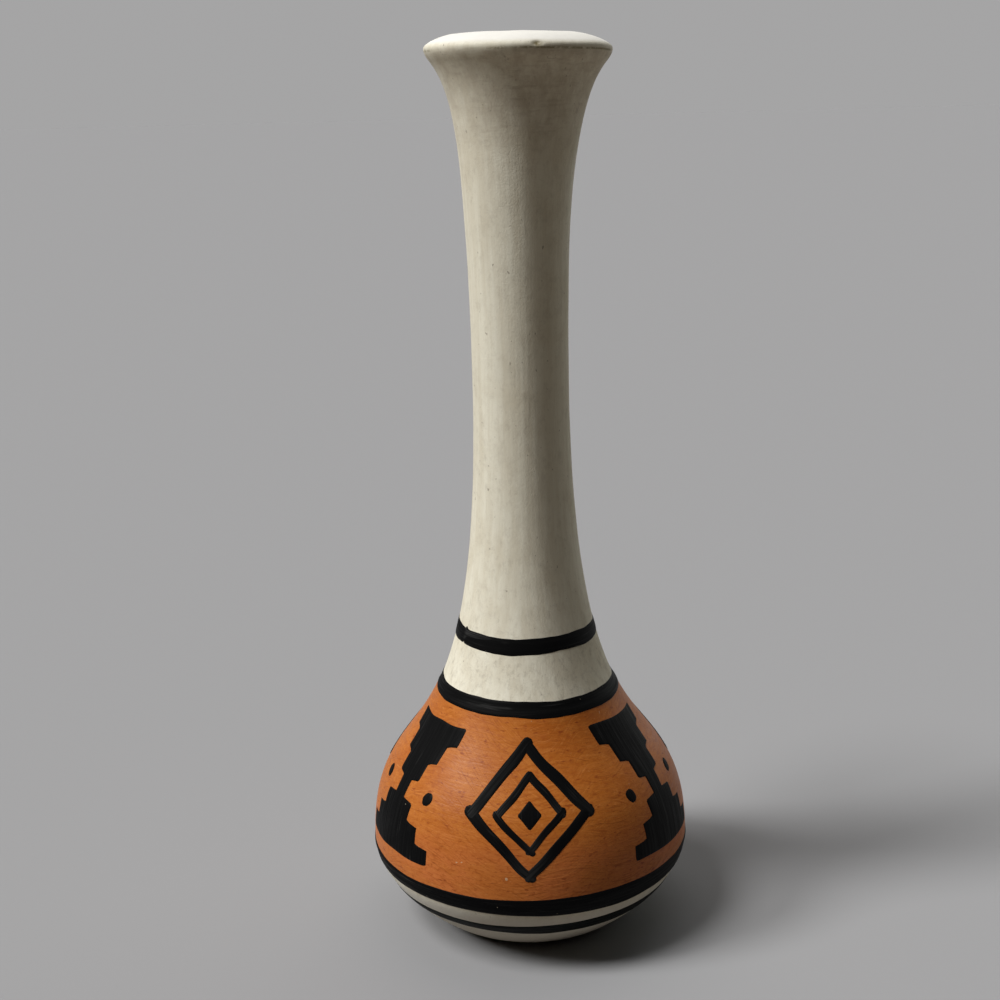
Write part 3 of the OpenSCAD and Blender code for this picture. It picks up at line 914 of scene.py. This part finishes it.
# The studio: a plain floor and sky of one tone to the camera. The vase gets less light from them than they
# show, so each has a seen and a felt colour.
FLOOR_HALF_M = 60.0
FLOOR_SEEN, FLOOR_FELT = (0.327, 0.329, 0.341), (0.165, 0.148, 0.128)
SKY_SEEN, SKY_FELT = (0.3765, 0.3735, 0.375), (0.004, 0.003, 0.002)

# Far-off soft lamps: azimuth and elevation in degrees, strength, spread in degrees and colour. Azimuth 0 is
# behind the camera, and it grows towards the viewer's right.
LAMPS = (
    ("key", -64, 60, 0.52, 18, (1, 0.985, 0.965)),
    ("side", -75, 41, 0.67, 16, (1, 0.99, 0.965)),
    ("top", 180, 72, 0.12, 60, (1, 1, 1)),
    ("rim", 135, 15, 0.16, 60, (0.96, 1, 0.94)),
    ("back", 180, 50, 0.13, 60, (1, 0.92, 0.83)),
)
LAMP_OFF_M = 2

# The camera, fitted to the photograph, with its angles in degrees
CAMERA_BACK, CAMERA_H = 332.7, 187.0
CAMERA_DOWN, CAMERA_YAW, CAMERA_ROLL = 14.49, -0.907, -1.437
FOCAL_PX, FRAME_PX, SENSOR_MM = 1500.0, 1000.0, 36.0
CLIP_M = (0.01, 200)


def light_path_share(tree):
    """1 for rays from the camera, off gloss or through glass, and 0 for the rest."""
    path = tree.nodes.new("ShaderNodeLightPath")
    share = path.outputs["Is Camera Ray"]
    for other in ("Is Glossy Ray", "Is Transmission Ray"):
        node = tree.nodes.new("ShaderNodeMath")
        node.operation = "MAXIMUM"
        tree.links.new(share, node.inputs[0])
        tree.links.new(path.outputs[other], node.inputs[1])
        share = node.outputs[0]
    return share


def build_floor():
    half = FLOOR_HALF_M
    corners = [(-half, -half, 0), (half, -half, 0), (half, half, 0), (-half, half, 0)]
    mesh = bpy.data.meshes.new("floor")
    mesh.from_pydata(corners, [], [(0, 1, 2, 3)])
    f = Finish("floor_finish", Specular_IOR_Level=0.0, Roughness=1.0)
    colour = f.mix(light_path_share(f.tree), FLOOR_FELT, FLOOR_SEEN)
    f.put(f.shader.inputs["Base Color"], colour)
    mesh.materials.append(f.material)
    floor = bpy.data.objects.new("floor", mesh)
    bpy.context.scene.collection.objects.link(floor)


def build_sky():
    sky = bpy.data.worlds.new("sky")
    sky.use_nodes = True
    tree = sky.node_tree
    background = tree.nodes["Background"]
    mix = tree.nodes.new("ShaderNodeMix")
    mix.data_type = "RGBA"
    tree.links.new(light_path_share(tree), mix.inputs[MIX_SHARE])
    mix.inputs[MIX_A].default_value = (*SKY_FELT, 1)
    mix.inputs[MIX_B].default_value = (*SKY_SEEN, 1)
    tree.links.new(mix.outputs[MIX_RESULT], background.inputs["Color"])
    bpy.context.scene.world = sky


def lamp(name, azimuth, elevation, strength, spread, colour):
    light = bpy.data.lights.new(name, "SUN")
    light.energy = strength * math.pi
    light.angle = math.radians(spread)
    light.color = colour
    shown = bpy.data.objects.new(name, light)
    a, e = math.radians(azimuth), math.radians(elevation)
    back = Vector((math.sin(a) * math.cos(e), -math.cos(a) * math.cos(e), math.sin(e)))
    shown.rotation_mode = "QUATERNION"
    shown.rotation_quaternion = back.to_track_quat("Z", "Y")
    shown.location = back * LAMP_OFF_M
    bpy.context.scene.collection.objects.link(shown)


def build_camera():
    down, yaw, roll = (math.radians(a) for a in (CAMERA_DOWN, CAMERA_YAW, CAMERA_ROLL))
    ahead = Vector((math.sin(yaw) * math.cos(down), math.cos(yaw) * math.cos(down), -math.sin(down)))
    right = Vector((math.cos(yaw), -math.sin(yaw), 0))
    up = right.cross(ahead)
    side = math.cos(roll) * right + math.sin(roll) * up
    top = math.cos(roll) * up - math.sin(roll) * right
    data = bpy.data.cameras.new("camera")
    data.sensor_width = SENSOR_MM
    data.lens = SENSOR_MM * FOCAL_PX / FRAME_PX
    data.clip_start, data.clip_end = CLIP_M
    camera = bpy.data.objects.new("camera", data)
    turn = Matrix((side, top, -ahead)).transposed().to_4x4()
    camera.matrix_world = Matrix.Translation(Vector((0, -CAMERA_BACK, CAMERA_H)) * MM) @ turn
    bpy.context.scene.collection.objects.link(camera)
    bpy.context.scene.camera = camera


build_vase()
build_floor()
build_sky()
for settings in LAMPS:
    lamp(*settings)
build_camera()
bpy.context.scene.view_settings.view_transform = "Standard"
